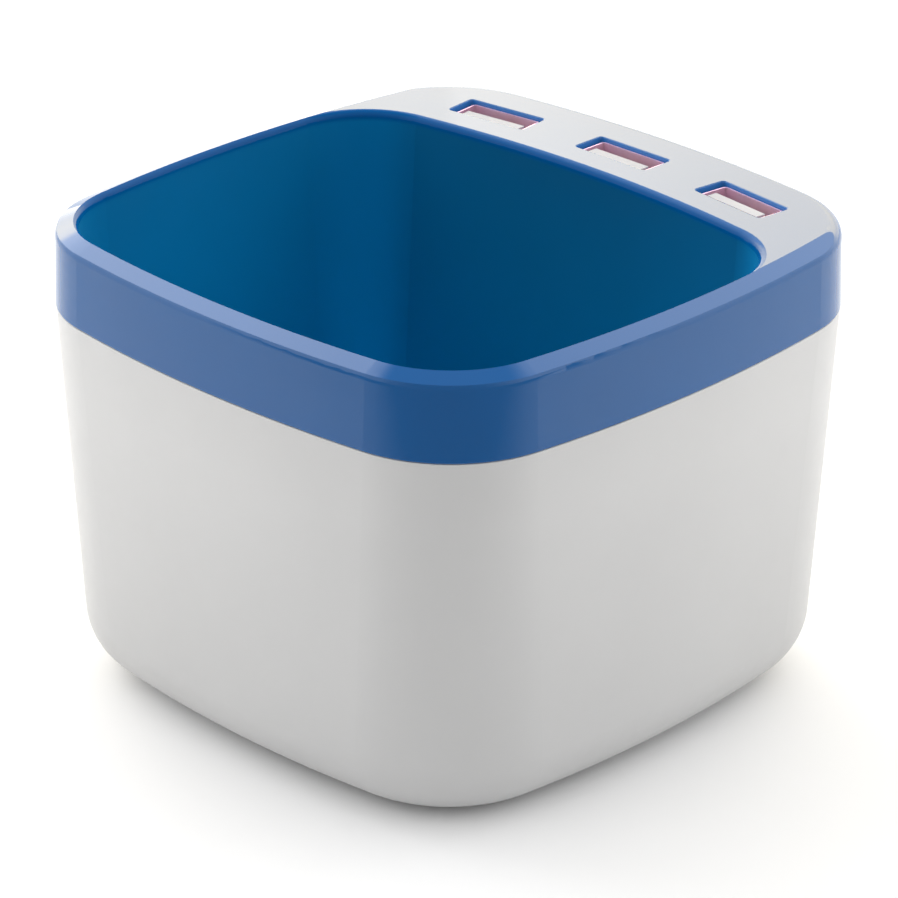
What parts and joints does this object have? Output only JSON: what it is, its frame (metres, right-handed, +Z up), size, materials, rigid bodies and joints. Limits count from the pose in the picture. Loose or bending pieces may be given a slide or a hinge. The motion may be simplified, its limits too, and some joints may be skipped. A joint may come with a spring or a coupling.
{
  "type": "pen holder with usb hub",
  "caption": "Square desk pen cup with bowed tapered sides, a rim band and a rear ledge with a row of upright USB sockets fed from an inlet in the back.",
  "frame": {"origin": "centre of the footprint, on the surface that the feet stand on", "axes": "+Z up, +Y towards the ledge with the sockets, +X along their row"},
  "size_m": [0.1, 0.1, 0.0744],
  "materials": {
    "white_shell": "satin moulded white plastic",
    "blue_insert": "glossy moulded navy blue plastic",
    "board_green": "green solder mask over glass laminate",
    "package_black": "black moulded package",
    "can_steel": "drawn steel can",
    "ceramic_tan": "fired ceramic with tinned ends",
    "can_aluminium": "plain aluminium can",
    "socket_nickel": "nickel plated folded sheet",
    "insulator_white": "white moulded insulator",
    "insulator_black": "black moulded insulator",
    "contact_gold": "gold flashed bronze strip",
    "zinc_screw": "zinc plated self tapping screw",
    "foot_rubber": "matt black rubber pad"
  },
  "bodies": {
    "root": {"outer_body": "white_shell", "pen_insert": "blue_insert", "hub_board": "board_green", "hub_controller": "package_black", "crystal": "can_steel", "chip_capacitors": "ceramic_tan", "chip_resistors": "package_black", "bulk_capacitor_left": "can_aluminium", "bulk_capacitor_right": "can_aluminium", "inlet_shell": "socket_nickel", "inlet_insulator": "insulator_black", "inlet_contacts": "contact_gold", "board_screws": "zinc_screw", "base_screws": "zinc_screw", "usb_shell_left": "socket_nickel", "usb_insulator_left": "insulator_white", "usb_contacts_left": "contact_gold", "usb_shell_middle": "socket_nickel", "usb_insulator_middle": "insulator_white", "usb_contacts_middle": "contact_gold", "usb_shell_right": "socket_nickel", "usb_insulator_right": "insulator_white", "usb_contacts_right": "contact_gold", "rubber_foot_front_left": "foot_rubber", "rubber_foot_front_right": "foot_rubber", "rubber_foot_rear_left": "foot_rubber", "rubber_foot_rear_right": "foot_rubber"}
  },
  "joints": []
}
